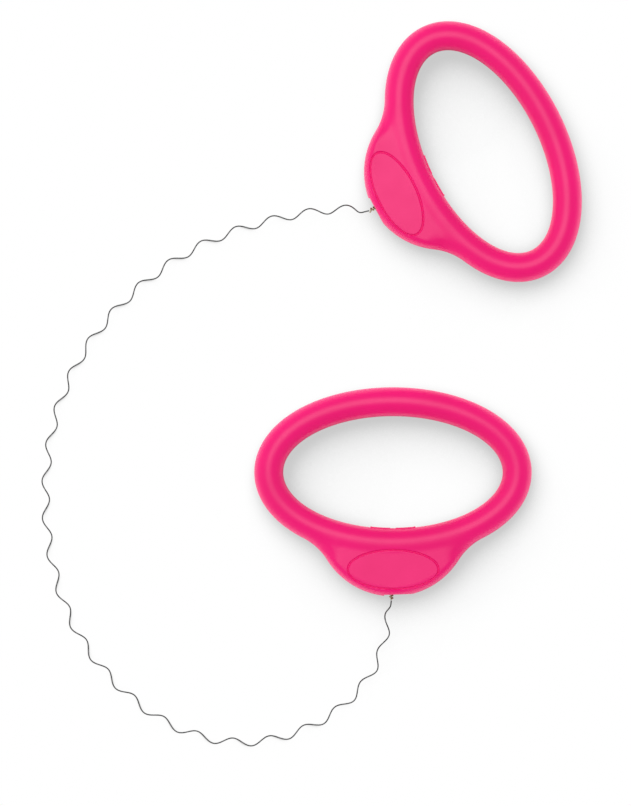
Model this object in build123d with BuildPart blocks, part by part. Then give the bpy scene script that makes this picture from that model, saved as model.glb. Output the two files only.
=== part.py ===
"""A wire clay cutter: two cast ring handles joined by one long curly steel wire.

The handles lie on a table with the wire looped beside them. +Z is up, the table is
z = 0, and the origin is below the middle of the box round the two handles.
"""
import os
from math import acos, cos, degrees, hypot, pi, radians, sin, sqrt, tan

from build123d import *

os.makedirs("parts", exist_ok=True)

# Ring of the handle, measured outside to outside. Its middle line runs at an even distance
# round an ellipse, which makes it fuller than an ellipse of its own size.
ring_width = 100.2
ring_depth = 61.5
ring_fullness = 3.1
grip_diameter = 10.5

# Chin of the handle, where the wire is cast in
chin_drop = 44.8
chin_radius = 28.1
chin_thickness = 8.6
chin_edge = 3.4
flare_start_width = 57.4
shoulder_length = 4.0
shoulder_lean_share = 0.42
blend_rise = 5.0
trim_depth = 0.55
trim_start = 3.2
trim_tilt = 1.7

# Trimmed casting gate on the wall of the hole, opposite the wire
gate_span = 11.5
gate_thickness = 2.4
gate_rise = 0.25

# Oval pad on the front of the chin
pad_width = 32.6
pad_height = 14.0
pad_drop = 34.9
pad_recess = 0.1
groove_width = 0.6
groove_depth = 0.45

# Spring wire and its curls
wire_diameter = 0.5
curl_diameter = 3.3
curl_count = 28
first_curl_at = 8.4
last_curl_left = 12.3
curl_ramp = 4.5

# Formed ends of the wire
wrap_clearance = 0.06
cast_clearance = 0.05
wrap_pitch = 0.95
wrap_turns = 3
wrap_show = 1.4
neck_length = 1.0
eye_width = 6.0
eye_length = 7.0
stub_past_wrap = 0.35
running_gap = 0.3
upper_wire_offset = 1.0
lower_wire_offset = -0.6
upper_tail_length = 1.1
lower_tail_length = 0.4
tail_lean = 48.0

# Lay of the two handles on the table
handles_apart_x = 32.6
handles_apart_y = 115.8
upper_turn = -63.8

# Middle line of the curly wire, from the upper handle to the lower one
knee_length = 1.0
wire_route = [
    (-27.6, 37.2, 4.4),
    (-53.0, 33.3, 1.7),
    (-78.2, 24.7, 1.7),
    (-100.9, 9.5, 1.7),
    (-119.3, -10.8, 1.7),
    (-131.3, -35.4, 1.7),
    (-135.3, -62.3, 1.7),
    (-133.5, -88.8, 1.7),
    (-125.3, -114.7, 1.7),
    (-109.0, -136.5, 1.7),
    (-87.1, -152.5, 1.7),
    (-60.5, -157.8, 1.7),
    (-33.4, -149.4, 1.7),
    (-14.3, -130.3, 3.4),
]

overrun = 5.0
long_corner_share = 0.45

grip_radius = grip_diameter / 2
chin_half = chin_thickness / 2
guide_half_width = ring_width / 2 - grip_radius - ring_fullness
guide_half_depth = ring_depth / 2 - grip_radius - ring_fullness
wire_radius = wire_diameter / 2
curl_radius = (curl_diameter - wire_diameter) / 2
wrap_radius = wire_diameter + wrap_clearance
mouth_drop = chin_drop - trim_depth
wrap_top = wrap_turns * wrap_pitch - mouth_drop - wrap_show
stub_drop = mouth_drop + wrap_show + stub_past_wrap


def core_point(angle):
    """Point on the middle line of the ring, and the way out of the ring there."""
    across = cos(radians(angle))
    up = sin(radians(angle))
    way = Vector(across / guide_half_width, up / guide_half_depth).normalized()
    return Vector(guide_half_width * across, guide_half_depth * up) + way * ring_fullness, way


# The chin is an arc below the ring, and a hollow flare leads from the ring into it.
# The flare touches both, which gives its radius and its centre.
chin_centre = Vector(0, chin_radius - chin_drop)
flare_angle = -degrees(acos(flare_start_width / 2 / guide_half_width))
flare_core, flare_way = core_point(flare_angle)
flare_start = flare_core + flare_way * grip_radius
start_arm = flare_start - chin_centre
flare_radius = (start_arm.dot(start_arm) - chin_radius**2) / (
    2 * (chin_radius - start_arm.dot(flare_way))
)
flare_centre = flare_start + flare_way * flare_radius
flare_end = chin_centre + (flare_centre - chin_centre).normalized() * chin_radius


def outline_reach(angle):
    """Distance from the ring's middle line out to the outline of the handle."""
    if angle < -90:
        angle = -180 - angle
    if angle >= flare_angle:
        return grip_radius
    point, way = core_point(angle)
    arm = flare_centre - point
    along = arm.dot(way)
    inside = along**2 - arm.dot(arm) + flare_radius**2
    if inside > 0:
        reach = along - sqrt(inside)
        if (point + way * reach).Y > flare_end.Y:
            return reach
    arm = chin_centre - point
    along = arm.dot(way)
    return along + sqrt(along**2 - arm.dot(arm) + chin_radius**2)


def arc_handle(turn):
    """Length of a Bezier handle that draws a unit arc of this many degrees."""
    return 4 / 3 * tan(radians(turn / 4))


def round_half(reach):
    """Control points of a round edge in three curves, from the crest to the outline."""
    step = 30
    handle = arc_handle(step)
    points = [(0, grip_radius)]
    for start in (90, 60, 30):
        end = start - step
        here = (cos(radians(start)), sin(radians(start)))
        there = (cos(radians(end)), sin(radians(end)))
        points += [
            (reach * (here[0] + handle * here[1]), grip_radius * (here[1] - handle * here[0])),
            (reach * (there[0] - handle * there[1]), grip_radius * (there[1] + handle * there[0])),
            (reach * there[0], grip_radius * there[1]),
        ]
    return points


def chin_half_section(reach):
    """Control points of the chin: a shoulder off the crest, a flat, and a round edge."""
    edge_start = reach - chin_edge
    shoulder = min(shoulder_length, edge_start * shoulder_length / (shoulder_length + chin_edge))
    lean = shoulder_lean_share * shoulder
    handle = arc_handle(90)
    return [
        (0, grip_radius),
        (lean, grip_radius),
        (shoulder - lean, chin_half),
        (shoulder, chin_half),
        (shoulder + lean, chin_half),
        (edge_start - handle * chin_edge, chin_half),
        (edge_start, chin_half),
        (edge_start + handle * chin_edge, chin_half),
        (reach, handle * chin_half),
        (reach, 0),
    ]


def section_curves(reach):
    """Bezier curves of the upper half of a handle section, from the hole to the outline."""
    handle = arc_handle(90) * grip_radius
    rise = min(1, (reach - grip_radius) / blend_rise)
    blend = rise**2 * (3 - 2 * rise)
    outer = [
        (a[0] * (1 - blend) + b[0] * blend, a[1] * (1 - blend) + b[1] * blend)
        for a, b in zip(round_half(reach), chin_half_section(reach))
    ]
    inner = [(-grip_radius, 0), (-grip_radius, handle), (-handle, grip_radius), (0, grip_radius)]
    return [inner, outer[0:4], outer[3:7], outer[6:10]]


# Ring stations in degrees: wide steps round the grip, close ones through the chin.
# One station past the middle at each end keeps the form smooth where it is mirrored.
grip_steps = 14
chin_steps = 14
grip_step = (90 - flare_angle) / grip_steps
chin_step = (90 + flare_angle) / chin_steps
stations = [90 - grip_step * count for count in range(-1, grip_steps)]
stations += [flare_angle - chin_step * count for count in range(chin_steps + 2)]

# Cutter for the plain oval groove and the flat pad inside it
with BuildPart() as pad_cutter:
    with BuildSketch(Plane.XY.offset(chin_half - groove_depth)):
        with Locations((0, -pad_drop)):
            Ellipse((pad_width + groove_width) / 2, (pad_height + groove_width) / 2)
    extrude(amount=groove_depth + overrun)
    with BuildSketch(Plane.XY.offset(chin_half - groove_depth)):
        with Locations((0, -pad_drop)):
            Ellipse((pad_width - groove_width) / 2, (pad_height - groove_width) / 2)
    extrude(amount=groove_depth - pad_recess, mode=Mode.SUBTRACT)


def hole_point(angle):
    """Point on the face of the gate, which stands a little proud of the wall of the hole."""
    point, way = core_point(angle)
    return point - way * (grip_radius + gate_rise)


# Right half of the gate, from the ring's middle line to its face in the hole
with BuildPart() as half_gate:
    with BuildSketch(Plane.XY.offset(-gate_thickness / 2)):
        with BuildLine():
            gate_end = gate_span - 90
            ThreePointArc(hole_point(-90), hole_point(gate_span / 2 - 90), hole_point(gate_end))
            Line(hole_point(gate_end), core_point(gate_end)[0])
            Line(core_point(gate_end)[0], core_point(-90)[0])
            Line(core_point(-90)[0], hole_point(-90))
        make_face()
    extrude(amount=gate_thickness)

# One handle as it leaves the mould: middle of the ring at the origin, chin towards -Y
with BuildPart() as casting:
    for angle in stations:
        core, way = core_point(angle)
        with BuildSketch(Plane(origin=core, x_dir=way, z_dir=way.cross(Vector(0, 0, 1)))):
            with BuildLine():
                for curve in section_curves(outline_reach(angle)):
                    Bezier(*curve)
                    Bezier(*[(x, -y) for x, y in curve])
            make_face()
    loft()
    split(bisect_by=Plane.YZ, keep=Keep.TOP)
    add(pad_cutter.part, mode=Mode.SUBTRACT)
    add(half_gate.part)
    mirror(about=Plane.YZ)
    # Foot of the pouring stub, cut off a little askew, which leaves a small step on one side
    foot_drop = mouth_drop + trim_start * tan(radians(trim_tilt))
    with Locations(Location((-trim_start, -foot_drop, 0), (0, 0, trim_tilt))):
        Box(
            ring_width, chin_drop, ring_depth, mode=Mode.SUBTRACT,
            align=(Align.MIN, Align.MAX, Align.CENTER),
        )


def draw_biarc(start, start_way, end, end_way):
    """Two arcs that leave start and reach end along the given ways."""
    span = end - start
    both = start_way + end_way
    bend = 2 * (1 - start_way.dot(end_way))
    forward = span.dot(both)
    pull = span.dot(span) / (forward + sqrt(forward**2 + bend * span.dot(span)))
    from_start = start + start_way * pull
    from_end = end - end_way * pull
    middle = (from_start + from_end) / 2
    TangentArc(start, middle, tangent=start_way)
    TangentArc(middle, end, tangent=from_end - from_start)


def draw_biarcs(points):
    """Arcs through a list of points, each given with its way."""
    for (start, start_way), (end, end_way) in zip(points, points[1:]):
        draw_biarc(start, start_way, end, end_way)


def wrap_point(hand, turned):
    """Middle of the tail, turned so many degrees round the standing wire, and its way."""
    swing = radians(90 + turned)
    lead = wrap_pitch / (2 * pi)
    point = Vector(
        hand * wrap_radius * cos(swing), wrap_top - lead * radians(turned), wrap_radius * sin(swing)
    )
    way = Vector(-hand * wrap_radius * sin(swing), -lead, wrap_radius * cos(swing))
    return point, way.normalized()


def eye_points(hand):
    """The wire from the top of its neck round the eye to where it starts to wrap."""
    up = Vector(0, 1, 0)
    neck = wrap_top + neck_length
    crown = neck + eye_length
    waist = crown - eye_width / 2
    side = hand * eye_width / 2
    lift = wrap_radius / 4
    return [
        (Vector(0, neck, 0), up),
        (Vector(-side, waist, lift), up),
        (Vector(0, crown, 2 * lift), Vector(hand, 0, 0)),
        (Vector(side, waist, 3 * lift), -up),
        wrap_point(hand, 0),
    ]


def tail_end(hand, length):
    """Cut end of the tail, which springs away from the last turn."""
    last, way = wrap_point(hand, 360 * wrap_turns)
    lean = Vector(hand * -cos(radians(tail_lean)), -sin(radians(tail_lean)), 0)
    return last + lean * length, lean


def build_eye(hand, tail_length):
    """Formed end of the wire: neck, cast-in eye, open turns round the neck and cut tail."""
    points = eye_points(hand)
    points += [wrap_point(hand, 90 * quarter) for quarter in range(1, 4 * wrap_turns + 1)]
    points.append(tail_end(hand, tail_length))
    with BuildPart() as eye:
        with BuildLine() as path:
            Line((0, -stub_drop, 0), points[0][0])
            draw_biarcs(points)
        with BuildSketch(Plane.XZ.offset(stub_drop)):
            Circle(wire_radius)
        sweep()
    return eye


def build_handle(hand, wire_offset):
    """A casting with the room that its wire end takes up inside it."""
    points = eye_points(hand)
    with BuildPart() as handle:
        add(casting.part)
        with BuildSketch(Plane.XZ.offset(-wrap_top - wire_radius)):
            with Locations((wire_offset, 0)):
                Circle(wrap_radius + wire_radius + cast_clearance)
        extrude(amount=wrap_show + overrun, mode=Mode.SUBTRACT)
        with BuildSketch(Plane.XZ.offset(-wrap_top - neck_length)):
            with Locations((wire_offset, 0)):
                Circle(wire_radius + cast_clearance)
        extrude(amount=neck_length, mode=Mode.SUBTRACT)
        for half in (points[:3], points[2:]):
            with BuildPart(mode=Mode.PRIVATE) as room:
                with BuildLine() as path:
                    draw_biarcs(half)
                with BuildSketch(Plane(origin=half[0][0], z_dir=half[0][1])):
                    Circle(wire_radius + cast_clearance)
                sweep()
            with Locations((wire_offset, 0)):
                add(room.part, mode=Mode.SUBTRACT)
    return handle


# The two handles lie one above the other, the upper one turned clockwise. The sizes of
# the box round them put its middle at the origin.
turn = radians(upper_turn)
guide_reach_x = hypot(guide_half_width * cos(turn), guide_half_depth * sin(turn))
guide_reach_y = hypot(guide_half_width * sin(turn), guide_half_depth * cos(turn))
upper_reach_x = guide_reach_x + ring_fullness + grip_radius
upper_reach_y = guide_reach_y + ring_fullness + grip_radius
lower_x = (ring_width / 2 - handles_apart_x - upper_reach_x) / 2
lower_y = (stub_drop - handles_apart_y - upper_reach_y) / 2
lower_place = Location((lower_x, lower_y, grip_radius))
upper_place = Location(
    (lower_x + handles_apart_x, lower_y + handles_apart_y, grip_radius), (0, 0, upper_turn)
)
upper_exit = upper_place * Location((upper_wire_offset, 0, 0))
lower_exit = lower_place * Location((lower_wire_offset, 0, 0))


def write_part(name, piece, place):
    """Put a finished piece in its place, label it and write its file."""
    with BuildPart() as placed:
        with Locations(place):
            add(piece.part)
    placed.part.label = name
    export_step(placed.part, f"parts/{name}.step")
    return placed


write_part("upper_handle", build_handle(-1, upper_wire_offset), upper_place)
write_part("lower_handle", build_handle(1, lower_wire_offset), lower_place)
write_part("upper_wire_eye", build_eye(-1, upper_tail_length), upper_exit)
write_part("lower_wire_eye", build_eye(1, lower_tail_length), lower_exit)

# Route of the curly wire's middle line: straight runs joined by arcs. It leaves each
# handle along the neck of the eye, after the gap at which the handle swings.
wire_start_drop = stub_drop + running_gap
upper_line = Plane(upper_exit)
lower_line = Plane(lower_exit)
route_points = [
    upper_line.from_local_coords(Vector(0, -wire_start_drop)),
    upper_line.from_local_coords(Vector(0, -wire_start_drop - knee_length)),
    *[Vector(*point) for point in wire_route],
    lower_line.from_local_coords(Vector(0, -wire_start_drop - knee_length)),
    lower_line.from_local_coords(Vector(0, -wire_start_drop)),
]
runs = [end - start for start, end in zip(route_points, route_points[1:])]
corner_radii = [
    long_corner_share * min(before.length, after.length) / tan(radians(before.get_angle(after) / 2))
    for before, after in zip(runs, runs[1:])
]
print("route radii", [round(radius, 1) for radius in corner_radii])
with BuildLine() as route:
    FilletPolyline(*route_points, radius=corner_radii)
route_wire = route.wires()[0]
route_length = route_wire.length
curl_pitch = (route_length - first_curl_at - last_curl_left) / (curl_count - 1)


def curl_middle(along):
    """Middle of the wire where its middle line has gone this far."""
    centre = route_wire.position_at(along, position_mode=PositionMode.LENGTH)
    way = route_wire.tangent_at(along, position_mode=PositionMode.LENGTH)
    side = way.cross(Vector(0, 0, 1)).normalized()
    near_end = min(along, route_length - along) - wire_diameter
    grown = min(1, max(0, near_end / curl_ramp))
    swing = 2 * pi * (along - first_curl_at) / curl_pitch
    out = curl_radius * grown**2 * (3 - 2 * grown)
    return centre + side * (out * cos(swing)) + side.cross(way) * (out * sin(swing))


def curl_point(along):
    """Middle of the curled wire and its way there."""
    step = wire_diameter / 100
    way = curl_middle(along + step) - curl_middle(along - step)
    return curl_middle(along), way.normalized()


# One curl is four quarter turns of two arcs each. The ends run straight for one
# diameter of the wire.
first_quarter = -round(4 * first_curl_at / curl_pitch - 0.5)
quarter_count = round(4 * last_curl_left / curl_pitch - 0.5) + 4 * (curl_count - 1) - first_quarter
quarters = [
    curl_point(first_curl_at + curl_pitch * (first_quarter + count) / 4)
    for count in range(quarter_count + 1)
]
upper_lead = (route_points[1] - route_points[0]).normalized()
lower_lead = (route_points[-1] - route_points[-2]).normalized()
curl_stations = [
    (route_points[0] + upper_lead * wire_diameter, upper_lead),
    *quarters,
    (route_points[-1] - lower_lead * wire_diameter, lower_lead),
]
with BuildPart() as curly_wire:
    with BuildLine() as curl_path:
        Line(route_points[0], curl_stations[0][0])
        draw_biarcs(curl_stations)
        Line(curl_stations[-1][0], route_points[-1])
    with BuildSketch(Plane(origin=route_points[0], z_dir=upper_lead)):
        Circle(wire_radius)
    sweep()
curly_wire.part.label = "curly_wire"
export_step(curly_wire.part, "parts/curly_wire.step")

# Checks of the wire: its length, its volume, and the least gap from curl to curl
wire_length = curl_path.wires()[0].length
print("route length", round(route_length, 1), "wire length", round(wire_length, 1))
print("curl pitch", round(curl_pitch, 2))
swept = curly_wire.part.volume / (pi * wire_radius**2 * wire_length)
print("volume over section times length", round(swept, 4))
near = [curl_middle(route_length * count / 1000) for count in range(1001)]
apart = round(curl_pitch / 2 / (route_length / 1000))
gaps = [
    (near[first] - near[second]).length
    for first in range(len(near))
    for second in range(first + apart, len(near))
]
print("least gap of the wire to itself", round(min(gaps) - wire_diameter, 2))
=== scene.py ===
# %% [markdown]
# # A curly wire clay cutter
# A potter pulls this tool through a block of clay by its two ring handles. The long curly
# wire between them cuts the clay and leaves a rippled face. The handles are cast in pink
# urethane, and each chin holds one end of the wire.
#
# The lesson dresses a CAD model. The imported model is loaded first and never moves. Each
# piece made here takes the place of a CAD piece, or gives one a better finish.

import random
from math import acos, cos, degrees, pi, radians, sin, sqrt, tan

import bmesh
import bpy
from mathutils import Matrix, Vector


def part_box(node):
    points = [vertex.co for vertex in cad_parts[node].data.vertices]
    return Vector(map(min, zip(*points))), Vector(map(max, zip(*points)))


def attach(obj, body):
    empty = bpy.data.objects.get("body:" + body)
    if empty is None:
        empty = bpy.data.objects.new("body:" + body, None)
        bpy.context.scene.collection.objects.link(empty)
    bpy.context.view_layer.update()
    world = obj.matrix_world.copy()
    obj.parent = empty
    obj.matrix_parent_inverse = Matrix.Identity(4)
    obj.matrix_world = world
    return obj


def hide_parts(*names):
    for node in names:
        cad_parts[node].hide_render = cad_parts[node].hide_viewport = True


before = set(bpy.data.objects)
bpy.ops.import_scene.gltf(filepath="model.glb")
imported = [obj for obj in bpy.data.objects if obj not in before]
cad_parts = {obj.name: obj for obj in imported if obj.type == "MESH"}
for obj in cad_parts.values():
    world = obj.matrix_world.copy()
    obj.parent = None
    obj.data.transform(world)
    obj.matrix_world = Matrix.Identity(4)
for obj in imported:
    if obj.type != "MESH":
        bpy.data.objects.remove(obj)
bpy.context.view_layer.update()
scene = bpy.context.scene
scene.view_settings.view_transform = "Standard"
MM = 0.001


def in_mm(corner):
    """Lengths in millimetres, rounded for printing."""
    return [round(value / MM, 1) for value in corner]


# %% [markdown]
# ## The camera
# The photograph looks straight down, and things far from its middle show no lean, so it was
# taken from high up with a long lens. A camera without perspective would come close, but
# this one is real: it hangs high above the table, and its lens is worked out from the length
# of table that the picture shows.

# %% Hang the camera
PICTURE_LENGTH = 291.0 * MM
PICTURE_MIDDLE = Vector((-37.02, -33.42, 5.25)) * MM
CAMERA_HEIGHT = 1.6
CAMERA_SIGHT = 10
SENSOR_IN_MM = 36

camera_data = bpy.data.cameras.new("long_lens")
camera_data.sensor_width = SENSOR_IN_MM
camera_data.lens = SENSOR_IN_MM * CAMERA_HEIGHT / PICTURE_LENGTH
camera_data.clip_end = CAMERA_SIGHT
camera = bpy.data.objects.new("camera", camera_data)
camera.location = PICTURE_MIDDLE + Vector((0, 0, CAMERA_HEIGHT))
scene.collection.objects.link(camera)
scene.camera = camera
print("lens in mm", round(camera_data.lens))

# %% [markdown]
# ## Where the handles lie
# The lower handle lies square to the picture, and the upper one is turned clockwise. Both
# are one casting, so it is drawn once, round the middle of its ring with the chin towards
# -Y, and `place` takes a point of it to the table. The wire leaves each chin a little to one
# side of its middle.

# %% Place the handles
GRIP_RADIUS = 5.25 * MM
WIRE_DIAMETER = 0.5 * MM
WIRE_EXIT = 46.3 * MM

HANDLES = {
    "upper": {"middle": (23.539, 57.353), "turn": -63.8, "wire_offset": 1.0},
    "lower": {"middle": (-9.061, -58.447), "turn": 0.0, "wire_offset": -0.6},
}
for handle in HANDLES.values():
    x, y = handle["middle"]
    handle["place"] = Matrix.Translation(Vector((x * MM, y * MM, GRIP_RADIUS)))
    handle["place"] @= Matrix.Rotation(radians(handle["turn"]), 4, "Z")
    handle["wire_offset"] *= MM


def place(handle, x, y):
    """Point of a handle on the table."""
    return HANDLES[handle]["place"] @ Vector((x, y, 0))


for name in HANDLES:
    low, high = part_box(f"{name}_handle")
    print(name, "handle from", in_mm(low), "to", in_mm(high))

# %% [markdown]
# ## The route of the wire
# The wire lies in one big loop beside the handles. A Bezier curve needs two handles at each
# of its points. A NURBS spline only needs control points, one wherever the loop changes its
# bend, and its bends flow into each other, so the route is drawn as one. The same points are
# in the CAD source. The spline's order is set after its points, because Blender lowers an
# order that has too few points to work with.

# %% Draw the route
KNEE_LENGTH = 1.0 * MM
SPLINE_ORDER = 3
ROUTE_STEPS = 64
WIRE_ROUTE = [
    (-27.6, 37.2, 4.4),
    (-53.0, 33.3, 1.7),
    (-78.2, 24.7, 1.7),
    (-100.9, 9.5, 1.7),
    (-119.3, -10.8, 1.7),
    (-131.3, -35.4, 1.7),
    (-135.3, -62.3, 1.7),
    (-133.5, -88.8, 1.7),
    (-125.3, -114.7, 1.7),
    (-109.0, -136.5, 1.7),
    (-87.1, -152.5, 1.7),
    (-60.5, -157.8, 1.7),
    (-33.4, -149.4, 1.7),
    (-14.3, -130.3, 3.4),
]


def nurbs_curve(name, points, steps):
    """A curve of one open NURBS spline that starts and ends on its end points."""
    curve = bpy.data.curves.new(name, "CURVE")
    curve.dimensions = "3D"
    curve.resolution_u = steps
    spline = curve.splines.new("NURBS")
    spline.points.add(len(points) - 1)
    for target, point in zip(spline.points, points):
        target.co = (*point, 1)
    spline.order_u = SPLINE_ORDER
    spline.use_endpoint_u = True
    return curve


def wire_end(name, drop):
    """Point of the wire below a chin, in line with the neck of its cast-in eye."""
    return place(name, HANDLES[name]["wire_offset"], -drop)


route_points = [
    wire_end("upper", WIRE_EXIT),
    wire_end("upper", WIRE_EXIT + KNEE_LENGTH),
    *[Vector(point) * MM for point in WIRE_ROUTE],
    wire_end("lower", WIRE_EXIT + KNEE_LENGTH),
    wire_end("lower", WIRE_EXIT),
]
route_object = bpy.data.objects.new("route", nurbs_curve("route", route_points, ROUTE_STEPS))
scene.collection.objects.link(route_object)
route_mesh = bpy.data.meshes.new_from_object(route_object)
route_line = [vertex.co.copy() for vertex in route_mesh.vertices]
bpy.data.objects.remove(route_object)

# Length of the route up to each point of its line
gone = [0.0]
for start, end in zip(route_line, route_line[1:]):
    gone.append(gone[-1] + (end - start).length)
route_length = gone[-1]
print("route in mm", round(route_length / MM, 1))

# %% [markdown]
# ## The curls
# The wire isn't wavy but wound: seen from its end it goes round and round its middle line.
# A spring could be bent along the route with a Curve modifier, but here the curls have to
# fade out near each handle. So each control point of the wire is the route's point at that
# length, moved out to the side and up by a turning amount. A NURBS curve runs inside its
# control points, so they stand a little further out than the wire does.

# %% Wind the wire
CURL_RADIUS = 1.4 * MM
CURL_COUNT = 28
FIRST_CURL_AT = 8.4 * MM
LAST_CURL_LEFT = 12.3 * MM
CURL_RAMP = 4.5 * MM
POINTS_PER_CURL = 16
WIRE_STEPS = 4
BEVEL_STEPS = 4

curl_pitch = (route_length - FIRST_CURL_AT - LAST_CURL_LEFT) / (CURL_COUNT - 1)
inward_pull = cos(pi / POINTS_PER_CURL)


def eased(share):
    """A share that rises from 0 to 1 and is slow at both ends."""
    held = min(1, max(0, share))
    return held**2 * (3 - 2 * held)


def route_at(along):
    """Point of the route at this length, and its direction there."""
    index = next((i for i, length in enumerate(gone) if length > along), len(gone) - 1)
    start, end = route_line[index - 1], route_line[index]
    share = (along - gone[index - 1]) / (gone[index] - gone[index - 1])
    before = route_line[max(0, index - 2)]
    after = route_line[min(len(route_line) - 1, index + 1)]
    return start.lerp(end, share), (after - before).normalized()


def curl_point(along):
    """Control point of the curled wire at this length of its route."""
    middle, way = route_at(along)
    side = way.cross(Vector((0, 0, 1))).normalized()
    near_end = min(along, route_length - along) - WIRE_DIAMETER
    out = CURL_RADIUS / inward_pull * eased(near_end / CURL_RAMP)
    swing = 2 * pi * (along - FIRST_CURL_AT) / curl_pitch
    return middle + side * (out * cos(swing)) + side.cross(way) * (out * sin(swing))


point_count = round(route_length / curl_pitch * POINTS_PER_CURL)
wire_points = [curl_point(route_length * i / point_count) for i in range(point_count + 1)]

wire_curve = nurbs_curve("cutting_wire", wire_points, WIRE_STEPS)
wire_curve.bevel_depth = WIRE_DIAMETER / 2
wire_curve.bevel_resolution = BEVEL_STEPS
wire_curve.use_fill_caps = True
cutting_wire = bpy.data.objects.new("cutting_wire", wire_curve)
scene.collection.objects.link(cutting_wire)

# %% [markdown]
# ## The outline of a handle
# A handle is a round ring that is drawn out on one side into a chin. Seen from above, the
# ring's middle line runs at an even distance round an ellipse, which makes it a little
# fuller than an ellipse. The outline is the ring's own, then a hollow flare that touches it,
# then the arc of the chin. It could be drawn as a flat shape and rounded off, but a ring
# with a round section is a sweep. So `outline_reach` gives how far the outline is from the
# middle line, and one number per point of the ring says the whole shape.

# %% Work out the outline
GUIDE_HALF_WIDTH = 41.75 * MM
GUIDE_HALF_DEPTH = 22.4 * MM
RING_FULLNESS = 3.1 * MM
CHIN_DROP = 44.8 * MM
CHIN_RADIUS = 28.1 * MM
FLARE_START = 28.7 * MM
CHIN_ANGLE = -90


def ring_point(angle):
    """Point of the ring's middle line, and the way out of the ring there."""
    across = cos(radians(angle))
    up = sin(radians(angle))
    way = Vector((across / GUIDE_HALF_WIDTH, up / GUIDE_HALF_DEPTH, 0)).normalized()
    guide = Vector((GUIDE_HALF_WIDTH * across, GUIDE_HALF_DEPTH * up, 0))
    return guide + way * RING_FULLNESS, way


chin_centre = Vector((0, CHIN_RADIUS - CHIN_DROP, 0))
flare_angle = -degrees(acos(FLARE_START / GUIDE_HALF_WIDTH))
flare_core, flare_way = ring_point(flare_angle)
arm = flare_core + flare_way * GRIP_RADIUS - chin_centre
flare_radius = (arm.length_squared - CHIN_RADIUS**2) / (2 * (CHIN_RADIUS - arm.dot(flare_way)))
flare_centre = flare_core + flare_way * (GRIP_RADIUS + flare_radius)
flare_end = chin_centre + (flare_centre - chin_centre).normalized() * CHIN_RADIUS


def outline_reach(angle):
    """Distance from the ring's middle line out to the outline of the handle."""
    if angle < CHIN_ANGLE:
        angle = 2 * CHIN_ANGLE - angle
    if angle >= flare_angle:
        return GRIP_RADIUS
    point, way = ring_point(angle)
    arm = flare_centre - point
    along = arm.dot(way)
    inside = along**2 - arm.length_squared + flare_radius**2
    if inside > 0:
        reach = along - sqrt(inside)
        if (point + way * reach).y > flare_end.y:
            return reach
    arm = chin_centre - point
    along = arm.dot(way)
    return along + sqrt(along**2 - arm.length_squared + CHIN_RADIUS**2)


print("flare radius in mm", round(flare_radius / MM, 2))
print("chin reach in mm", round(outline_reach(CHIN_ANGLE) / MM, 2))

# %% [markdown]
# ## Two lines that make the handle
# The handle is made by sweeping a section round the ring, which is Geometry Nodes work. The
# section has to change on its way from grip to chin, and a sweep alone only changes its
# size. So the nodes read two lines drawn here. The ring line carries how far the outline is
# at each point. The section line carries, for each of its points, what share of each size it
# takes, once for the round grip and once for the chin with its crest, shoulder, flat and
# round edge.

# %% Helper for lines with attributes
FIELD_OF_KIND = {"FLOAT": "value", "FLOAT_VECTOR": "vector"}


def closed_line(name, points, attributes):
    """A closed line of vertices and edges, with values stored on its points."""
    mesh = bpy.data.meshes.new(name)
    count = len(points)
    mesh.from_pydata(points, [(i, (i + 1) % count) for i in range(count)], [])
    for key, values in attributes.items():
        kind = "FLOAT" if isinstance(values[0], (int, float)) else "FLOAT_VECTOR"
        layer = mesh.attributes.new(key, kind, "POINT")
        for item, value in zip(layer.data, values):
            setattr(item, FIELD_OF_KIND[kind], value)
    line = bpy.data.objects.new(name, mesh)
    scene.collection.objects.link(line)
    return line


# %% Draw the ring line
# Degrees between two points of the line
GRIP_STEP = 1.2
CHIN_STEP = 0.6
CHIN_EDGE = 3.4 * MM
SHOULDER_LENGTH = 4.0 * MM
BLEND_RISE = 8.0 * MM


def ring_angles():
    """Angles round the ring, closer together through the chin."""
    grip_count = round((180 - 2 * flare_angle) / GRIP_STEP)
    chin_count = round((180 + 2 * flare_angle) / CHIN_STEP)
    grip_span = (180 - 2 * flare_angle) / grip_count
    chin_span = (180 + 2 * flare_angle) / chin_count
    grip = [flare_angle + grip_span * i for i in range(grip_count)]
    chin = [180 - flare_angle + chin_span * i for i in range(chin_count)]
    return grip + [angle - 360 for angle in chin]


def shoulder_of(reach):
    """Width of the shoulder, which gives way where the chin is still narrow."""
    room = (reach - CHIN_EDGE) * SHOULDER_LENGTH / (SHOULDER_LENGTH + CHIN_EDGE)
    return min(SHOULDER_LENGTH, room)


def blend_of(reach):
    """0 where the section is round, 1 where it is the chin's."""
    return eased((reach - GRIP_RADIUS) / BLEND_RISE)


ring_line_angles = ring_angles()
reaches = [outline_reach(angle) for angle in ring_line_angles]
middles, ways = zip(*[ring_point(angle) for angle in ring_line_angles])
ring_line = closed_line(
    "ring_line",
    middles,
    {
        "middle": middles,
        "way": ways,
        "reach": reaches,
        "shoulder": [shoulder_of(reach) for reach in reaches],
        "chin": [blend_of(reach) for reach in reaches],
    },
)
print("ring line points", len(ring_line_angles))

# %% Draw the section line
INNER_STEPS = 16
OUTER_STEPS = 10
SHOULDER_LEAN = 0.42
# Share of a radius that a Bezier curve's handles reach out to draw a quarter of a circle
ARC = 4 / 3 * tan(pi / 8)


def bezier(t, a, b, c, d):
    """Point of a Bezier curve, worked out for each number of its control points."""
    shares = ((1 - t) ** 3, 3 * t * (1 - t) ** 2, 3 * t**2 * (1 - t), t**3)
    return tuple(sum(s * v for s, v in zip(shares, values)) for values in zip(a, b, c, d))


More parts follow.
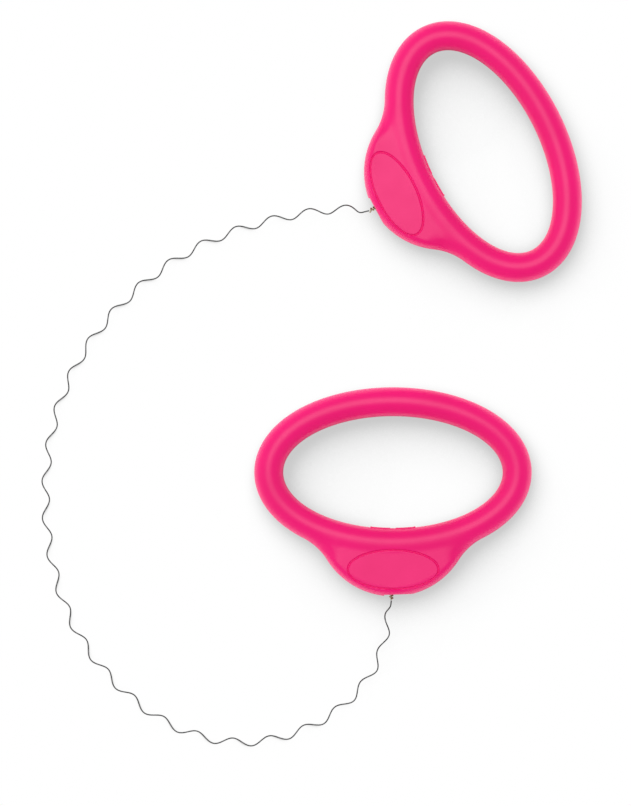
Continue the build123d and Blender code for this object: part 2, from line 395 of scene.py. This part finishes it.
# Across the chin, as shares of the reach, the shoulder and the edge
SHOULDER_ACROSS = [(0, 0, 0), (0, SHOULDER_LEAN, 0), (0, 1 - SHOULDER_LEAN, 0), (0, 1, 0)]
FLAT_ACROSS = [(0, 1, 0), (0, 1 + SHOULDER_LEAN, 0), (1, 0, -1 - ARC), (1, 0, -1)]
EDGE_ACROSS = [(1, 0, -1), (1, 0, ARC - 1), (1, 0, 0), (1, 0, 0)]
# Up the chin, as shares of the grip's radius and the chin's half thickness
SHOULDER_UP = [(1, 0, 0), (1, 0, 0), (0, 1, 0), (0, 1, 0)]
FLAT_UP = [(0, 1, 0)] * 4
EDGE_UP = [(0, 1, 0), (0, 1, 0), (0, ARC, 0), (0, 0, 0)]
OUTER = [(SHOULDER_ACROSS, SHOULDER_UP), (FLAT_ACROSS, FLAT_UP), (EDGE_ACROSS, EDGE_UP)]

# One row for each point of the section: the inner quarter, the outer one in three stretches,
# the rim, and then the same again below
section_rows = []
for step in range(INNER_STEPS):
    turn = pi / 2 * step / INNER_STEPS
    row = {"inner": -cos(turn), "round_across": 0.0, "round_up": sin(turn)}
    section_rows.append(row | {"chin_across": (0, 0, 0), "chin_up": (sin(turn), 0, 0)})
for third, (across, up) in enumerate(OUTER):
    for step in range(OUTER_STEPS):
        t = step / OUTER_STEPS
        turn = pi / 6 * (third + t)
        row = {"inner": 0.0, "round_across": sin(turn), "round_up": cos(turn)}
        section_rows.append(row | {"chin_across": bezier(t, *across), "chin_up": bezier(t, *up)})
rim = {"inner": 0.0, "round_across": 1.0, "round_up": 0.0}
rim |= {"chin_across": (1, 0, 0), "chin_up": (0, 0, 0)}
under = [
    row | {"round_up": -row["round_up"], "chin_up": tuple(-v for v in row["chin_up"])}
    for row in reversed(section_rows[1:])
]
section_rows += [rim, *under]
circle = [2 * pi * i / len(section_rows) for i in range(len(section_rows))]
section_line = closed_line(
    "section_line",
    [(cos(turn) * MM, sin(turn) * MM, 0) for turn in circle],
    {key: [row[key] for row in section_rows] for key in rim},
)
print("section line points", len(section_rows))


# %% Helpers for node trees
def new_tree(name, kind, inputs, outputs):
    """A node tree with named inputs, given as name, socket kind and value, and named outputs."""
    tree = bpy.data.node_groups.new(name, kind)
    for label, socket_kind, value in inputs:
        socket = tree.interface.new_socket(label, in_out="INPUT", socket_type=socket_kind)
        if value is not None:
            socket.default_value = value
    for label, socket_kind in outputs:
        tree.interface.new_socket(label, in_out="OUTPUT", socket_type=socket_kind)
    enter = tree.nodes.new("NodeGroupInput").outputs
    leave = tree.nodes.new("NodeGroupOutput").inputs
    return tree, enter, leave


def node(tree, kind, *values, **settings):
    """Add a node. A socket among the values is linked, None is left alone, the rest are set."""
    made = tree.nodes.new(kind)
    for key, value in settings.items():
        setattr(made, key, value)
    for socket, value in zip([s for s in made.inputs if s.enabled], values):
        if isinstance(value, bpy.types.NodeSocket):
            tree.links.new(value, socket)
        elif value is not None:
            socket.default_value = value
    return [socket for socket in made.outputs if socket.enabled]


def math(tree, operation, *values):
    """A number worked out from numbers."""
    return node(tree, "ShaderNodeMath", *values, operation=operation)[0]


def vector_math(tree, operation, *values):
    """A vector or a number worked out from vectors."""
    return node(tree, "ShaderNodeVectorMath", *values, operation=operation)[0]


def triple(tree, *values):
    """Three numbers as a vector."""
    return node(tree, "ShaderNodeCombineXYZ", *values)[0]


def stored(tree, key, kind="FLOAT"):
    """Value that a line carries on its points."""
    return node(tree, "GeometryNodeInputNamedAttribute", key, data_type=kind)[0]


def run_tree(tree, source, values):
    """Run a tree on an object and return the result as a plain mesh."""
    modifier = source.modifiers.new(tree.name, "NODES")
    modifier.node_group = tree
    for item in tree.interface.items_tree:
        if item.item_type == "SOCKET" and item.in_out == "INPUT" and item.name in values:
            modifier[item.identifier] = values[item.name]
    evaluated = source.evaluated_get(bpy.context.evaluated_depsgraph_get())
    mesh = bpy.data.meshes.new_from_object(evaluated)
    source.modifiers.remove(modifier)
    return mesh


# %% [markdown]
# ## The cast skin
# The grip flows into the chin without a seam, so the skin is one sweep and not two solids
# joined. Curve to Mesh carries the section round the ring and hands on the values of both
# lines. Its points are then set anew: out from the ring's middle line by the share of the
# reach, and up by the share of the thickness. Where the chin's value is 0 the section is
# round, where it is 1 it is the chin's, and between them it is mixed.

# %% Build the tree that sweeps the skin
CHIN_HALF = 4.85 * MM

sweep_tree, enter, leave = new_tree(
    "Sweep a ring with a chin",
    "GeometryNodeTree",
    [
        ("Ring line", "NodeSocketGeometry", None),
        ("Section line", "NodeSocketObject", None),
        ("Grip radius", "NodeSocketFloat", GRIP_RADIUS),
        ("Chin half thickness", "NodeSocketFloat", CHIN_HALF),
        ("Chin edge", "NodeSocketFloat", CHIN_EDGE),
    ],
    [("Skin", "NodeSocketGeometry")],
)
grip, half, edge = enter["Grip radius"], enter["Chin half thickness"], enter["Chin edge"]
ring = node(sweep_tree, "GeometryNodeMeshToCurve", enter["Ring line"])[0]
section = node(sweep_tree, "GeometryNodeObjectInfo", enter["Section line"])[-1]
section = node(sweep_tree, "GeometryNodeMeshToCurve", section)[0]
tube = node(sweep_tree, "GeometryNodeCurveToMesh", ring, section)[0]

reach, chin = stored(sweep_tree, "reach"), stored(sweep_tree, "chin")
sizes = triple(sweep_tree, reach, stored(sweep_tree, "shoulder"), edge)
heights = triple(sweep_tree, grip, half)
round_across = math(sweep_tree, "MULTIPLY", stored(sweep_tree, "round_across"), reach)
chin_across = stored(sweep_tree, "chin_across", "FLOAT_VECTOR")
chin_across = vector_math(sweep_tree, "DOT_PRODUCT", chin_across, sizes)
across = node(sweep_tree, "ShaderNodeMix", chin, round_across, chin_across)[0]
across = math(sweep_tree, "MULTIPLY_ADD", stored(sweep_tree, "inner"), grip, across)
round_up = math(sweep_tree, "MULTIPLY", stored(sweep_tree, "round_up"), grip)
chin_up = stored(sweep_tree, "chin_up", "FLOAT_VECTOR")
chin_up = vector_math(sweep_tree, "DOT_PRODUCT", chin_up, heights)
up = node(sweep_tree, "ShaderNodeMix", chin, round_up, chin_up)[0]

out = vector_math(sweep_tree, "SCALE", stored(sweep_tree, "way", "FLOAT_VECTOR"), across)
rise = triple(sweep_tree, 0.0, 0.0, up)
spot = vector_math(sweep_tree, "ADD", stored(sweep_tree, "middle", "FLOAT_VECTOR"), out)
spot = vector_math(sweep_tree, "ADD", spot, rise)
skin = node(sweep_tree, "GeometryNodeSetPosition", tube, None, spot)[0]
sweep_tree.links.new(skin, leave["Skin"])
print("sweep tree nodes", len(sweep_tree.nodes))

# %% [markdown]
# ## The oval groove, the wire's hole and the trimmed foot
# The oval round the pad is a groove cut into the skin, with soft lips. A bump in the
# material would have no real depth, so it is a groove in the mesh. Its path has to keep to
# the chin's surface, which falls away at the edge, so Raycast drops the oval onto the skin,
# and the skin's own normal stands the groove's section upright. Mesh Boolean then cuts it,
# together with the hole for the wire and the foot where the pouring stub was trimmed.

# %% Draw the groove's section
OVAL_WIDTH = 32.6 * MM
OVAL_HEIGHT = 14.0 * MM
OVAL_DROP = 34.9 * MM
# One half of the section in mm, across from its middle and up from the skin
GROOVE_HALF_SECTION = [
    (0.00, -0.42),
    (0.12, -0.40),
    (0.20, -0.33),
    (0.25, -0.22),
    (0.29, -0.12),
    (0.36, -0.05),
    (0.47, -0.01),
    (0.75, 0.05),
    (0.75, 0.60),
]
half_section = [(up * MM, -across * MM, 0) for across, up in GROOVE_HALF_SECTION]
other_half = [(up, -across, z) for up, across, z in reversed(half_section[1:])]
groove_line = closed_line("groove_line", other_half + half_section, {})
print("groove section points", len(groove_line.data.vertices))

# %% [markdown]
# On the wall of the finger hole, behind the pad, is the rough strip where the casting gate
# was cut off. It stands a little proud, its ends are torn, and a small pit marks its middle.
# A noise over the whole wall would roughen the rest of it too. So the strip is a block that
# follows the wall, with its face shaken by seeded random numbers.

# %% Shape the trimmed gate
# Degrees round the ring, from the middle of the gate
GATE_SPAN = 11.5
PIT_HALF = 1.3
END_TEAR = 0.6
GATE_STEPS = 92
GATE_ROWS = 8
GATE_THICKNESS = 2.4 * MM
GATE_RISE = 0.22 * MM
GATE_ROUGHNESS = 0.03 * MM
GATE_ROOT = 1.2 * MM
# How proud the pit and the torn ends stand, as shares of the gate's rise
PIT_RISE = 0.15
TEAR_RISE = 1.5
GATE_SEED = 11

chance = random.Random(GATE_SEED)
gate_loops = []
for step in range(GATE_STEPS + 1):
    turned = GATE_SPAN * (2 * step / GATE_STEPS - 1)
    point, way = ring_point(CHIN_ANGLE + turned)
    rise = GATE_RISE
    if abs(turned) < PIT_HALF:
        rise *= PIT_RISE
    elif abs(turned) > GATE_SPAN - END_TEAR:
        rise *= TEAR_RISE
    root = point - way * (GRIP_RADIUS - GATE_ROOT)
    loop = [root - Vector((0, 0, GATE_THICKNESS / 2))]
    for row in range(GATE_ROWS + 1):
        up = GATE_THICKNESS * (row / GATE_ROWS - 0.5)
        reach = GRIP_RADIUS + rise + chance.uniform(-1, 1) * GATE_ROUGHNESS
        loop.append(point - way * reach + Vector((0, 0, up)))
    loop.append(root + Vector((0, 0, GATE_THICKNESS / 2)))
    gate_loops.append(loop)

gate_mesh = bmesh.new()
gate_rings = [[gate_mesh.verts.new(point) for point in loop] for loop in gate_loops]
for here, there in zip(gate_rings, gate_rings[1:]):
    for i in range(len(here)):
        gate_mesh.faces.new((here[i - 1], here[i], there[i], there[i - 1]))
gate_mesh.faces.new(reversed(gate_rings[0]))
gate_mesh.faces.new(gate_rings[-1])
bmesh.ops.recalc_face_normals(gate_mesh, faces=gate_mesh.faces)
gate_object = bpy.data.objects.new("gate", bpy.data.meshes.new("gate"))
gate_mesh.to_mesh(gate_object.data)
gate_mesh.free()
scene.collection.objects.link(gate_object)
print("gate faces", len(gate_object.data.polygons))

# %% Start the tree that cuts the handle
WRAP_RADIUS = 0.56 * MM
BORE_CLEARANCE = 0.05 * MM
MOUTH_DROP = 44.05 * MM
TRIM_START = 3.2 * MM
TRIM_TILT = 1.7

bore_radius = WRAP_RADIUS + WIRE_DIAMETER / 2 + BORE_CLEARANCE
foot_depth = MOUTH_DROP + TRIM_START * tan(radians(TRIM_TILT))
cut_tree, enter, leave = new_tree(
    "Cut the groove, hole and foot",
    "GeometryNodeTree",
    [
        ("Skin", "NodeSocketGeometry", None),
        ("Groove section", "NodeSocketObject", None),
        ("Gate", "NodeSocketObject", None),
        ("Material", "NodeSocketMaterial", None),
        ("Oval width", "NodeSocketFloat", OVAL_WIDTH),
        ("Oval height", "NodeSocketFloat", OVAL_HEIGHT),
        ("Oval drop", "NodeSocketFloat", OVAL_DROP),
        ("Wire offset", "NodeSocketFloat", 0.0),
        ("Bore radius", "NodeSocketFloat", bore_radius),
        ("Foot drop", "NodeSocketFloat", foot_depth),
    ],
    [("Handle", "NodeSocketGeometry")],
)
print("hole radius in mm", round(bore_radius / MM, 2))
print("foot below the ring's middle in mm", round(foot_depth / MM, 2))

# %% Lay the groove on the skin
OVAL_STEPS = 200
ABOVE_SKIN = 2 * GRIP_RADIUS
RAY_LENGTH = 1.0

skin = node(cut_tree, "GeometryNodeSetShadeSmooth", enter["Skin"])[0]
# A circle 1 across, which the oval's sizes stretch
oval = node(cut_tree, "GeometryNodeCurvePrimitiveCircle", OVAL_STEPS, 0.5)[0]
oval_size = triple(cut_tree, enter["Oval width"], enter["Oval height"], 1.0)
oval_drop = math(cut_tree, "MULTIPLY", enter["Oval drop"], -1.0)
oval_spot = triple(cut_tree, 0.0, oval_drop, ABOVE_SKIN)
oval = node(cut_tree, "GeometryNodeTransform", oval, oval_spot, None, oval_size)[0]
above = node(cut_tree, "GeometryNodeInputPosition")[0]
fall = (skin, None, above, (0, 0, -1), RAY_LENGTH)
_, landing, upright, *_ = node(cut_tree, "GeometryNodeRaycast", *fall, data_type="FLOAT")
oval = node(cut_tree, "GeometryNodeSetCurveNormal", oval, None, upright, mode="FREE")[0]
oval = node(cut_tree, "GeometryNodeSetPosition", oval, None, landing)[0]
groove = node(cut_tree, "GeometryNodeObjectInfo", enter["Groove section"])[-1]
groove = node(cut_tree, "GeometryNodeMeshToCurve", groove)[0]
groove = node(cut_tree, "GeometryNodeCurveToMesh", oval, groove)[0]
groove = node(cut_tree, "GeometryNodeSetShadeSmooth", groove)[0]
print("cut tree nodes with the groove", len(cut_tree.nodes))

# %% Place the wire's hole and the block that trims the foot
WRAP_TOP = 42.55 * MM
BORE_LENGTH = 8.0 * MM
BORE_SIDES = 32
FOOT_BLOCK = 60.0 * MM

bore_sizes = (BORE_SIDES, 1, 1, enter["Bore radius"], BORE_LENGTH)
bore = node(cut_tree, "GeometryNodeMeshCylinder", *bore_sizes)[0]
bore_spot = triple(cut_tree, enter["Wire offset"], -WRAP_TOP - BORE_LENGTH / 2, 0.0)
bore = node(cut_tree, "GeometryNodeTransform", bore, bore_spot, (pi / 2, 0, 0))[0]
bore = node(cut_tree, "GeometryNodeSetShadeSmooth", bore)[0]

foot = node(cut_tree, "GeometryNodeMeshCube", (FOOT_BLOCK, FOOT_BLOCK, FOOT_BLOCK))[0]
foot = node(cut_tree, "GeometryNodeTransform", foot, (FOOT_BLOCK / 2, -FOOT_BLOCK / 2, 0))[0]
foot_drop = math(cut_tree, "MULTIPLY", enter["Foot drop"], -1.0)
foot_spot = triple(cut_tree, -TRIM_START, foot_drop, 0.0)
foot = node(cut_tree, "GeometryNodeTransform", foot, foot_spot, (0, 0, radians(TRIM_TILT)))[0]
print("cut tree nodes with the hole and the foot", len(cut_tree.nodes))


# %% Cut the skin and join the gate to it
def combine(operation, *solids):
    """Cut the later solids out of the first or join them all, with crisp edges between them."""
    made = cut_tree.nodes.new("GeometryNodeMeshBoolean")
    made.operation = operation
    made.solver = "EXACT"
    for place_in_line, solid in enumerate(solids):
        is_base = operation == "DIFFERENCE" and place_in_line == 0
        cut_tree.links.new(solid, made.inputs[0 if is_base else 1])
    whole, seams = made.outputs[0], made.outputs["Intersecting Edges"]
    return node(cut_tree, "GeometryNodeSetShadeSmooth", whole, seams, False, domain="EDGE")[0]


gate = node(cut_tree, "GeometryNodeObjectInfo", enter["Gate"])[-1]
cast = combine("UNION", combine("DIFFERENCE", skin, groove, bore, foot), gate)
cast = node(cut_tree, "GeometryNodeRealizeInstances", cast)[0]
cast = node(cut_tree, "GeometryNodeSetMaterial", cast, None, enter["Material"])[0]
cut_tree.links.new(cast, leave["Handle"])
print("cut tree nodes in all", len(cut_tree.nodes))

# %% [markdown]
# ## Finishes
# Cast urethane is coloured all through and has a satin skin with faint flow patches and the
# fine grain of its mould. Spring steel wire is bright in some places and dull in others, and
# its ends at the chins have a straw-brown heat tint. Each finish could have nodes of its
# own, but the effect is the same, so it is one shader group, placed in each material with
# its own values.

# %% Build the group for patches and grain
PATCH_DETAIL = 3.0
PATCH_ROUGHNESS = 0.55
PATCH_EDGES = (0.35, 0.7)
GRAIN_DETAIL = 2.0
GRAIN_ROUGHNESS = 0.5

patch_group, enter, leave = new_tree(
    "Patches and grain",
    "ShaderNodeTree",
    [
        ("Colour", "NodeSocketColor", (0.8, 0.8, 0.8, 1)),
        ("Patch colour", "NodeSocketColor", (0.7, 0.7, 0.7, 1)),
        ("Patch scale", "NodeSocketFloat", 60.0),
        ("Grain scale", "NodeSocketFloat", 2000.0),
        ("Roughness", "NodeSocketFloat", 0.4),
        ("Roughness change", "NodeSocketFloat", 0.1),
    ],
    [
        ("Colour", "NodeSocketColor"),
        ("Roughness", "NodeSocketFloat"),
        ("Height", "NodeSocketFloat"),
    ],
)
where = patch_group.nodes.new("ShaderNodeTexCoord").outputs["Object"]
noise = (where, enter["Patch scale"], PATCH_DETAIL, PATCH_ROUGHNESS)
patches = node(patch_group, "ShaderNodeTexNoise", *noise)[0]
patches = node(patch_group, "ShaderNodeMapRange", patches, *PATCH_EDGES, 0.0, 1.0)[0]
colours = (enter["Colour"], enter["Patch colour"])
mixed = node(patch_group, "ShaderNodeMix", patches, *colours, data_type="RGBA")[0]
patch_group.links.new(mixed, leave["Colour"])
noise = (where, enter["Grain scale"], GRAIN_DETAIL, GRAIN_ROUGHNESS)
grain = node(patch_group, "ShaderNodeTexNoise", *noise)[0]
patch_group.links.new(grain, leave["Height"])
swing = math(patch_group, "SUBTRACT", patches, 0.5)
rough = math(patch_group, "MULTIPLY_ADD", swing, enter["Roughness change"], enter["Roughness"])
patch_group.links.new(rough, leave["Roughness"])
print("patch group nodes", len(patch_group.nodes))


# %% Make the materials
def new_material(name, values, bump_strength, bump_depth, **shader_values):
    """A material whose colour, roughness and grain come from the group."""
    material = bpy.data.materials.new(name)
    material.use_nodes = True
    tree = material.node_tree
    shader = tree.nodes["Principled BSDF"]
    group = tree.nodes.new("ShaderNodeGroup")
    group.node_tree = patch_group
    for key, value in values.items():
        group.inputs[key].default_value = value
    bump = tree.nodes.new("ShaderNodeBump")
    bump.inputs["Strength"].default_value = bump_strength
    bump.inputs["Distance"].default_value = bump_depth
    tree.links.new(group.outputs["Colour"], shader.inputs["Base Color"])
    tree.links.new(group.outputs["Roughness"], shader.inputs["Roughness"])
    tree.links.new(group.outputs["Height"], bump.inputs["Height"])
    tree.links.new(bump.outputs["Normal"], shader.inputs["Normal"])
    for key, value in shader_values.items():
        shader.inputs[key.replace("_", " ")].default_value = value
    return material


urethane = new_material(
    "pink_urethane",
    {
        "Colour": (0.88, 0.001, 0.172, 1),
        "Patch colour": (0.83, 0.001, 0.156, 1),
        "Patch scale": 45.0,
        "Grain scale": 2500.0,
        "Roughness": 0.38,
        "Roughness change": 0.06,
    },
    bump_strength=0.15,
    bump_depth=0.02 * MM,
    Specular_IOR_Level=0.3,
)
spring_steel = new_material(
    "spring_steel",
    {
        "Colour": (0.11, 0.11, 0.11, 1),
        "Patch colour": (0.075, 0.078, 0.075, 1),
        "Patch scale": 300.0,
        "Grain scale": 6000.0,
        "Roughness": 0.15,
        "Roughness change": 0.08,
    },
    bump_strength=0.1,
    bump_depth=0.01 * MM,
    Metallic=1.0,
)
tinted_steel = new_material(
    "heat_tinted_steel",
    {
        "Colour": (0.36, 0.33, 0.21, 1),
        "Patch colour": (0.20, 0.17, 0.09, 1),
        "Patch scale": 900.0,
        "Grain scale": 6000.0,
        "Roughness": 0.25,
        "Roughness change": 0.1,
    },
    bump_strength=0.1,
    bump_depth=0.01 * MM,
    Metallic=1.0,
)
print("finishes", [material.name for material in (urethane, spring_steel, tinted_steel)])

# %% [markdown]
# ## Dress the frame
# Each handle is swept, cut and moved to its place on the table, where it takes the place of
# its CAD piece. The free wire takes the place of its own, as a curve. The formed ends of the
# wire could be wound anew as well, but they are fine as the CAD made them, so they only get
# the tinted finish.

# %% Make the two handles
skin_mesh = run_tree(sweep_tree, ring_line, {"Section line": section_line})
skin_object = bpy.data.objects.new("skin", skin_mesh)
scene.collection.objects.link(skin_object)
for name, handle in HANDLES.items():
    mesh = run_tree(
        cut_tree,
        skin_object,
        {
            "Groove section": groove_line,
            "Gate": gate_object,
            "Wire offset": handle["wire_offset"],
            "Material": urethane,
        },
    )
    mesh.transform(handle["place"])
    cast_handle = bpy.data.objects.new(f"{name}_cast_handle", mesh)
    scene.collection.objects.link(cast_handle)
    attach(cast_handle, f"{name}_grip")
    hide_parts(f"{name}_handle")
    print(name, "handle faces", len(mesh.polygons))
for helper in (ring_line, section_line, groove_line, gate_object, skin_object):
    bpy.data.objects.remove(helper)

# %% Give the wire its place
cutting_wire.data.materials.append(spring_steel)
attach(cutting_wire, "wire")
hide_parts("curly_wire")
print("wire leaves the upper handle at mm", in_mm(route_points[0]))

# %% Tint the formed ends of the wire
for name in HANDLES:
    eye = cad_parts[f"{name}_wire_eye"]
    eye.data.materials.clear()
    eye.data.materials.append(tinted_steel)
    print(name, "wire eye faces", len(eye.data.polygons))

# %% [markdown]
# ## Floor and light
# The photograph looks lit by one big soft light nearly overhead and by pale walls to the
# left and right, the left one a little brighter. The ends of the room give a little light
# too, and the white table throws light back up at the object, partly as a painted glow.
#
# The table shows as white with a neutral grey shadow that has no edge. A cast shadow would
# change with every change to the lamp, so the shadow is painted instead: its grey comes from
# Ambient Occlusion, how much sky each spot of the table sees, leaning towards the lamp, and
# the camera sees it as an emitted grey. All other rays meet a sheet of paper that glows with
# painted light, and whose colour and glow have painted shade near the handles, so that little
# light comes back up under the handles.

# %% Floor
FLOOR_SIZE = 6
SHADOW_REACH = 40 * MM
SHADOW_LEAN = (-0.3, 0.6, 1.0)
SHADE_SAMPLES = 16
# Sky that the deepest shade and the open table see, how grey the painted shadow makes each of
# them to the camera, and how dark the paper's painted shade makes each to all other rays
SKY_SEEN = (0.45, 0.84)
PAINTED_SHADOW_GREYS = (0.59, 1.0)
PAPER_PAINTED_SHADE = (0.1, 1.0)
# How strongly the paper glows, a painted light, though the paper is no lamp
PAINTED_TABLE_GLOW = 0.7

bpy.ops.mesh.primitive_plane_add(size=FLOOR_SIZE)
floor = bpy.context.object
floor.name = "floor"
floor_material = bpy.data.materials.new("table_with_painted_shadow")
floor_material.use_nodes = True
floor_tree = floor_material.node_tree
lean = vector_math(floor_tree, "NORMALIZE", SHADOW_LEAN)
shade_inputs = (None, SHADOW_REACH, lean)
sky = node(floor_tree, "ShaderNodeAmbientOcclusion", *shade_inputs, samples=SHADE_SAMPLES)[1]
# Painted shadow: the camera sees the table's grey as emitted light, set by Ambient Occlusion
shade = node(floor_tree, "ShaderNodeMapRange", sky, *SKY_SEEN, *PAINTED_SHADOW_GREYS)[0]
painted_shadow = node(floor_tree, "ShaderNodeEmission", shade, 1.0)[0]

# Painted shade and painted glow: for all rays but the camera's, the paper's colour darkens and
# its glow falls near the handles
paper_painted_shade = node(floor_tree, "ShaderNodeMapRange", sky, *SKY_SEEN, *PAPER_PAINTED_SHADE)[0]
painted_glow = math(floor_tree, "MULTIPLY", paper_painted_shade, PAINTED_TABLE_GLOW)
paper = floor_tree.nodes["Principled BSDF"]
paper.inputs["Roughness"].default_value = 1.0
paper.inputs["Specular IOR Level"].default_value = 0.0
paper.inputs["Emission Color"].default_value = (1, 1, 1, 1)
floor_tree.links.new(paper_painted_shade, paper.inputs["Base Color"])
floor_tree.links.new(painted_glow, paper.inputs["Emission Strength"])

ray = floor_tree.nodes.new("ShaderNodeLightPath").outputs["Is Camera Ray"]
seen = node(floor_tree, "ShaderNodeMixShader", ray, paper.outputs[0], painted_shadow)[0]
floor_tree.links.new(seen, floor_tree.nodes["Material Output"].inputs["Surface"])
floor.data.materials.append(floor_material)
print("floor nodes", len(floor_tree.nodes))

# %% Lamp
LAMP_SIDE = Vector((-0.08, 0.22, 1.0)).normalized()
LAMP_DISTANCE = 1.5
LAMP_SIZE = 1.0
LAMP_POWER = 12

lamp_data = bpy.data.lights.new("overhead_softbox", "AREA")
lamp_data.size = LAMP_SIZE
lamp_data.energy = LAMP_POWER
lamp = bpy.data.objects.new("overhead_softbox", lamp_data)
lamp.location = PICTURE_MIDDLE + LAMP_SIDE * LAMP_DISTANCE
lamp.rotation_euler = (-LAMP_SIDE).to_track_quat("-Z", "Y").to_euler()
scene.collection.objects.link(lamp)
print("lamp at mm", in_mm(lamp.location))

# %% Room
ROOM_LIGHT = 0.32
WALL_LIGHT = 0.46
END_LIGHT = 0.12
# Below 0, because the wall on the right gives less light than the one on the left
RIGHT_LIGHT = -0.1
BACKGROUND_WHITE = 1.0

world = bpy.data.worlds.new("studio")
scene.world = world
world.use_nodes = True
world_tree = world.node_tree
facing = world_tree.nodes.new("ShaderNodeTexCoord").outputs["Generated"]
right, far, _ = node(world_tree, "ShaderNodeSeparateXYZ", facing)
to_wall, to_end = math(world_tree, "ABSOLUTE", right), math(world_tree, "ABSOLUTE", far)
light = math(world_tree, "MULTIPLY_ADD", to_wall, WALL_LIGHT, ROOM_LIGHT)
light = math(world_tree, "MULTIPLY_ADD", right, RIGHT_LIGHT, light)
light = math(world_tree, "MULTIPLY_ADD", to_end, END_LIGHT, light)
ray = world_tree.nodes.new("ShaderNodeLightPath").outputs["Is Camera Ray"]
strength = node(world_tree, "ShaderNodeMix", ray, light, BACKGROUND_WHITE)[0]
background = world_tree.nodes["Background"]
background.inputs["Color"].default_value = (1, 1, 1, 1)
world_tree.links.new(strength, background.inputs["Strength"])
print("room nodes", len(world_tree.nodes))
